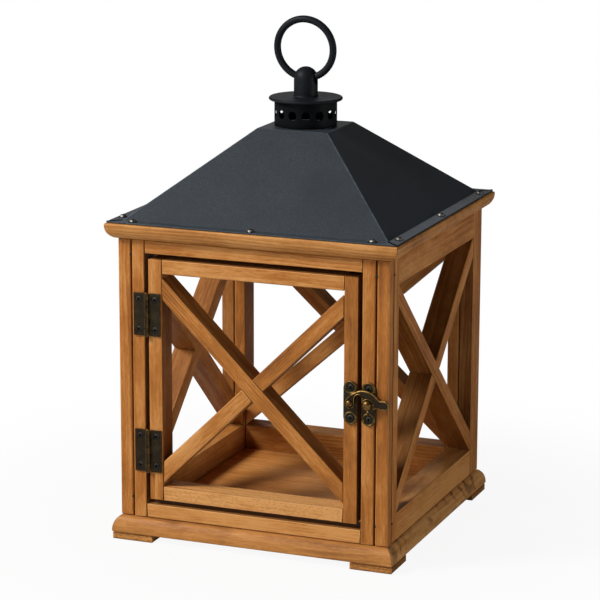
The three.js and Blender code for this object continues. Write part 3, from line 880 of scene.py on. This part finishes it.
def add_hook():
    """A pressed arm: a flat web with a bead along its outline, thickest where it faces up."""
    pivot = Vector(joints["latch_pivot"]["pos_m"])
    low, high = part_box("latch_hook_arm")
    loops = [
        [((x - pivot.x) / MM, (z - pivot.z) / MM) for x, z in loop]
        for loop in front_loops("latch_hook_arm")
    ]
    thick = (high.y - low.y) / MM
    place = facing_front(pivot.x, pivot.z, high.y)
    bm = bmesh.new()
    add_plate(bm, loops, 0, thick - HOOK_BEAD["sunk"], LATCH["ease"], place)
    web = mesh_from(bm, "hook")
    piece("latch_hook_web", web, "antique_bronze", "latch_arm", ["latch_hook_arm"])
    outline = [Vector((x, y, 0)) for x, y in loops[0]]
    count = len(outline)
    area = sum(a.x * b.y - b.x * a.y for a, b in zip(outline, outline[1:] + outline[:1]))
    bm = bmesh.new()
    rings = []
    for i, here in enumerate(outline):
        forward = (outline[(i + 1) % count] - outline[i - 1]).normalized()
        outward = Vector((forward.y, -forward.x, 0)) * math.copysign(1, area)
        wire = HOOK_BEAD["thin"] + HOOK_BEAD["swell"] * max(0, outward.y)
        centre = here - outward * wire + Vector((0, 0, thick - wire))
        ring = [outward * x + Vector((0, 0, y)) for x, y in circle(0, 0, wire, 12)]
        rings.append([place @ (centre + p) for p in ring])
    add_rings(bm, rings, closed=True)
    bead = mesh_from(bm, "bead", 60)
    piece("latch_hook_bead", bead, "worn_brass", "latch_arm")


# ---------------------------------------------------------------- roof, vent and ring


CORNER_STEPS = 4
SIDE_SHARES = (0.0, 0.01, 0.25, 0.5, 0.75, 0.99)
# How strongly each fold is painted lighter: a painted highlight on hips and creases, painted light on the flange.
FOLD_HIGHLIGHT = {"hip": 1.0, "flange": 0.3, "crease": 0.6}


def square_ring(half, z, corner):
    """Points round a square with rounded corners, in millimetres, starting at the right side. The
    sides have a point close to each corner, so that a mark on the corner doesn't spread."""
    points = []
    for quarter in range(4):
        turn = Matrix.Rotation(quarter * QUARTER, 2)
        inner = half - corner
        points += [turn @ Vector((half, inner * (2 * share - 1))) for share in SIDE_SHARES]
        points += [turn @ Vector(p) for p in arc(inner, inner, corner, 0, 90, CORNER_STEPS)[:-1]]
    return [Vector((p.x, p.y, z)) for p in points]


def round_ring(radius, like):
    """A ring on a circle with a point for each point of another ring, at the same bearing."""
    return [Vector((*(p.xy.normalized() * radius), p.z)) for p in like]


def fold_highlight(p):
    """How much painted highlight a point of the roof gets: its hips most, then its creases, and a
    little painted light on its flange.
    """
    r = ROOF
    out = max(abs(p.x), abs(p.y))
    if abs(abs(p.x) - abs(p.y)) < r["hip"] * 0.8 and r["plate_half"] < out < r["slope_half"]:
        return FOLD_HIGHLIGHT["hip"]
    if out > r["slope_half"]:
        return FOLD_HIGHLIGHT["flange"]
    off_crease = min(r["slope_half"] - out, abs(r["plate_half"] - out))
    return FOLD_HIGHLIGHT["crease"] if off_crease < 0.2 else 0.0


def roof_mesh(top, under, flange):
    """One sheet: a flat plate round the vent, four slopes and a flat flange, folded softly."""
    r = ROOF
    over = under + r["sheet"]
    pitch = math.atan2(top - over, r["slope_half"] - r["plate_half"])
    inset = r["sheet"] * math.tan(pitch / 2)
    edge = flange - r["lip"]
    outer = [(r["vent"] + 1, top), (r["plate_half"], top), (r["slope_half"], over), (flange, over)]
    lip = [(edge, over), (flange, over - r["lip"]), (flange, under + r["lip"]), (edge, under)]
    inner = [(flange, under), (r["slope_half"] - inset, under),
             (r["plate_half"] - inset, top - r["sheet"]), (r["vent"] + 1, top - r["sheet"])]
    profile = eased(outer, r["fold"], 4, closed=False)[:-1] + lip
    profile += eased(inner, r["fold"], 4, closed=False)[1:]
    rings = [square_ring(half, z, r["hip"]) for half, z in profile]
    rings.insert(0, round_ring(r["vent"], rings[0]))
    rings.append(round_ring(r["vent"], rings[-1]))
    bm = bmesh.new()
    add_rings(bm, [[p * MM for p in ring] for ring in rings], closed=True)
    mesh = mesh_from(bm, "roof", 30)
    marks = mesh.attributes.new("fold", "FLOAT", "POINT")
    for vertex, mark in zip(mesh.vertices, marks.data):
        mark.value = fold_highlight(vertex.co / MM)
    return mesh


def add_roof():
    low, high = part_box("roof_shell")
    top, under, flange = high.z / MM, low.z / MM, high.x / MM
    over = under + ROOF["sheet"]
    mesh = roof_mesh(top, under, flange)
    piece("roof_sheet", mesh, "roof_coat", "case", ["roof_shell"])
    head = screw_head(**ROOF_SCREW)
    line = flange - ROOF_SCREWS["inset"]
    last = flange - ROOF_SCREWS["from_corner"]
    places = []
    for quarter in range(4):
        turn = Matrix.Rotation(quarter * QUARTER, 4, "Z")
        for along in (-last, 0, last):
            places.append(turn @ upright(along * MM, -line * MM, over * MM))
    stand = ROOF_SCREWS["stand"]
    add_screws("roof_screws", head, places, "plated_screw", "case", -stand)
    add_mitre_shadows(ROOF["slope_half"], flange, over)


def add_mitre_shadows(inner, outer, z):
    """A black strip across each corner of the flange: a painted shadow where the flange's seam is."""
    bm = bmesh.new()
    m = MITRE_SHADOW
    near, far = inner * math.sqrt(2) + m["inner"], outer * math.sqrt(2) - m["outer"]
    shadow_strip = eased(rectangle(near, far, -m["half"], m["half"]), m["corner"])
    for quarter in range(4):
        place = Matrix.Rotation((quarter + 0.5) * QUARTER, 4, "Z") @ Matrix.Scale(MM, 4)
        add_plate(bm, [shadow_strip], z - m["sunk"], z + m["proud"], m["ease"], place)
    piece("roof_mitre_shadows", mesh_from(bm, "mitre_shadows"), "seam_shadow", "case")


HOLE_STEPS = 8
HOLE_SHARES = (0, 0.12, 0.5, 1)


def collar_cell(radius, bearing, width, bottom, top, hole):
    """One hole of the collar with the sheet round it, wrapped on a cylinder, as rings of points
    from the hole out to the cell's edge. The heights are from the hole's centre."""
    low = math.atan2(bottom, width)
    high = math.atan2(top, width)
    corners = (low, high, math.pi - high, math.pi - low, TURN + low)
    angles = [
        start + (end - start) * i / HOLE_STEPS
        for start, end in zip(corners, corners[1:]) for i in range(HOLE_STEPS)
    ]
    rings = []
    for share in HOLE_SHARES:
        ring = []
        for angle in angles:
            c, s = math.cos(angle), math.sin(angle)
            reach = min(width / max(abs(c), 1e-9), (top if s > 0 else -bottom) / max(abs(s), 1e-9))
            span = hole + (reach - hole) * share
            around = bearing + span * c / radius
            ring.append(Vector((radius * math.sin(around), -radius * math.cos(around), span * s)))
        rings.append(ring)
    return rings


def add_collar():
    low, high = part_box("vent_collar")
    c = COLLAR
    radius = max(high.x, -low.x, high.y, -low.y) / MM
    width = math.pi * radius / c["holes"]
    hole_z = low.z / MM + c["hole_up"]
    above = high.z / MM - hole_z
    bm = bmesh.new()
    for i in range(c["holes"]):
        bearing = math.radians(c["turn"]) + TURN * i / c["holes"] + QUARTER
        rings = collar_cell(radius, bearing, width, -c["hole_up"], above, c["hole"])
        add_rings(bm, [[(p + Vector((0, 0, hole_z))) * MM for p in ring] for ring in rings])
    bmesh.ops.remove_doubles(bm, verts=bm.verts, dist=1e-6)
    mesh = mesh_from(bm, "collar", 50)
    collar = piece("vent_collar_sheet", mesh, "collar_coat", "case", ["vent_collar"])
    sheet = collar.modifiers.new("sheet", "SOLIDIFY")
    sheet.thickness = c["sheet"] * MM
    sheet.offset = -1
    rim = collar.modifiers.new("rim", "BEVEL")
    rim.width = c["rim"] * MM
    rim.segments = 2
    rim.limit_method = "ANGLE"
    rim.angle_limit = math.radians(50)


BORE_STEPS = 12


def add_cap():
    """A round cap with a welded knob, bored through for the ring."""
    low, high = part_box("vent_cap")
    c = CAP
    bottom = low.z / MM
    top = bottom + c["thick"]
    rim = c["thick"] / 2
    outer = high.x / MM
    knob, weld, dome = c["knob"], c["weld"], c["dome_centre"]
    profile = [(0, bottom), (outer - rim, bottom), *arc(outer - rim, bottom + rim, rim, -75, 75, 8)]
    profile += [(outer - rim, top), *reversed(arc(knob + weld, top + weld, weld, 180, 270, 5))]
    profile += arc(0, dome, knob, 0, 84, 14) + [(0, high.z / MM)]
    bm = bmesh.new()
    add_lathe(bm, profile, Matrix.Scale(MM, 4), 96)
    body = mesh_from(bm, "cap")
    # The bore is wide at its mouths, to clear the ring as it curves away.
    half = knob + 1
    bore = [(0, -half)]
    for i in range(BORE_STEPS + 1):
        along = -half + 2 * half * i / BORE_STEPS
        sag = RING["radius"] - math.sqrt(RING["radius"] ** 2 - along**2)
        bore.append((RING["wire"] + RING["running"] + sag, along))
    axis = Vector(joints["ring_swing"]["pos_m"])
    bm = bmesh.new()
    place = Matrix.Translation(axis) @ Matrix.Rotation(QUARTER, 4, "Y") @ Matrix.Scale(MM, 4)
    add_lathe(bm, [*bore, (0, half)], place, 40)
    bored = cut(body, mesh_from(bm, "bore"))
    bored.shade_smooth()
    bored.set_sharp_from_angle(angle=math.radians(35))
    piece("vent_cap_knob", bored, "vent_coat", "case", ["vent_cap"])


def add_ring():
    axis = Vector(joints["ring_swing"]["pos_m"])
    lean = Matrix.Rotation(math.radians(RING["lean"]), 4, "X")
    stand = Matrix.Translation((0, 0, RING["radius"])) @ Matrix.Rotation(QUARTER, 4, "X")
    bm = bmesh.new()
    place = Matrix.Translation(axis) @ lean @ Matrix.Scale(MM, 4) @ stand
    add_torus(bm, RING["radius"], RING["wire"], place)
    piece("hanging_ring_wire", mesh_from(bm, "ring"), "vent_coat", "ring", ["hanging_ring"])


# ---------------------------------------------------------------- stage, lights and camera


def add_floor():
    """A white floor. The camera sees it fade to even white away from the lantern, and every other
    ray sees plain paper."""
    f = FLOOR
    cells = f["cells"]
    bpy.ops.mesh.primitive_grid_add(x_subdivisions=cells, y_subdivisions=cells, size=f["size"])
    floor = bpy.context.object
    floor.name = "studio_floor"
    n = Nodes("studio_floor")
    away = n.add("VectorMath", {0: n.place()}, "Value", operation="LENGTH")
    seen = n.add("LightPath", {}, "Is Camera Ray")
    white = n.add("Emission", {"Color": (1, 1, 1, 1), "Strength": 1.0})
    fade = n.remap(away, f["near"], f["far"], f["white"], 1.0)
    mixed = n.add("MixShader", {0: n.times(seen, fade), 1: n.surface.outputs[0], 2: white})
    output = next(node for node in n.tree.nodes if node.type == "OUTPUT_MATERIAL")
    n.put(mixed, output.inputs["Surface"])
    floor.data.materials.append(n.finish(Base_Color=(*[f["grey"]] * 3, 1), Roughness=0.9))


def add_light(name, place, aim, size, power):
    """A rectangular light, aimed at a height above the middle of the lantern's foot."""
    light = bpy.data.lights.new(name, "AREA")
    light.shape = "RECTANGLE"
    light.size, light.size_y = size
    light.energy = power
    thing = bpy.data.objects.new(name, light)
    thing.location = place
    thing.rotation_euler = (Vector((0, 0, aim)) - Vector(place)).to_track_quat("-Z", "Y").to_euler()
    bpy.context.scene.collection.objects.link(thing)


def add_world():
    """White to the camera, and nearly dark to every other ray."""
    world = bpy.data.worlds.new("studio")
    bpy.context.scene.world = world
    world.use_nodes = True
    tree = world.node_tree
    tree.nodes.clear()
    path = tree.nodes.new("ShaderNodeLightPath")
    mix = tree.nodes.new("ShaderNodeMixShader")
    out = tree.nodes.new("ShaderNodeOutputWorld")
    tree.links.new(path.outputs["Is Camera Ray"], mix.inputs[0])
    for socket, strength in ((1, WORLD_GLOW), (2, 1.0)):
        sky = tree.nodes.new("ShaderNodeBackground")
        sky.inputs["Color"].default_value = (1, 1, 1, 1)
        sky.inputs["Strength"].default_value = strength
        tree.links.new(sky.outputs[0], mix.inputs[socket])
    tree.links.new(mix.outputs[0], out.inputs["Surface"])
    bpy.context.scene.view_settings.view_transform = "Standard"


def add_camera():
    """A long lens from the front right, a little above the lantern."""
    c = CAMERA
    yaw, pitch, roll = (math.radians(c[name]) for name in ("yaw", "pitch", "roll"))
    across, up = c["aim"]
    aim = Vector((math.cos(yaw), math.sin(yaw), 0)) * across + Vector((0, 0, up))
    level = math.cos(pitch)
    back = Vector((math.sin(yaw) * level, -math.cos(yaw) * level, math.sin(pitch)))
    lens = bpy.data.cameras.new("camera")
    lens.sensor_width = c["sensor"]
    lens.lens = c["lens"]
    lens.clip_start, lens.clip_end = c["clip"]
    camera = bpy.data.objects.new("camera", lens)
    camera.location = aim + back * c["distance"]
    turn = (-back).to_track_quat("-Z", "Y").to_matrix() @ Matrix.Rotation(roll, 3, "Z")
    camera.rotation_euler = turn.to_euler()
    bpy.context.scene.collection.objects.link(camera)
    bpy.context.scene.camera = camera


# ---------------------------------------------------------------- assembly

add_wood()
add_brads()
add_hinges()
add_latch()
add_hook()
add_roof()
add_collar()
add_cap()
add_ring()
add_floor()
for light, settings in LIGHTS.items():
    add_light(light, **settings)
add_world()
add_camera()
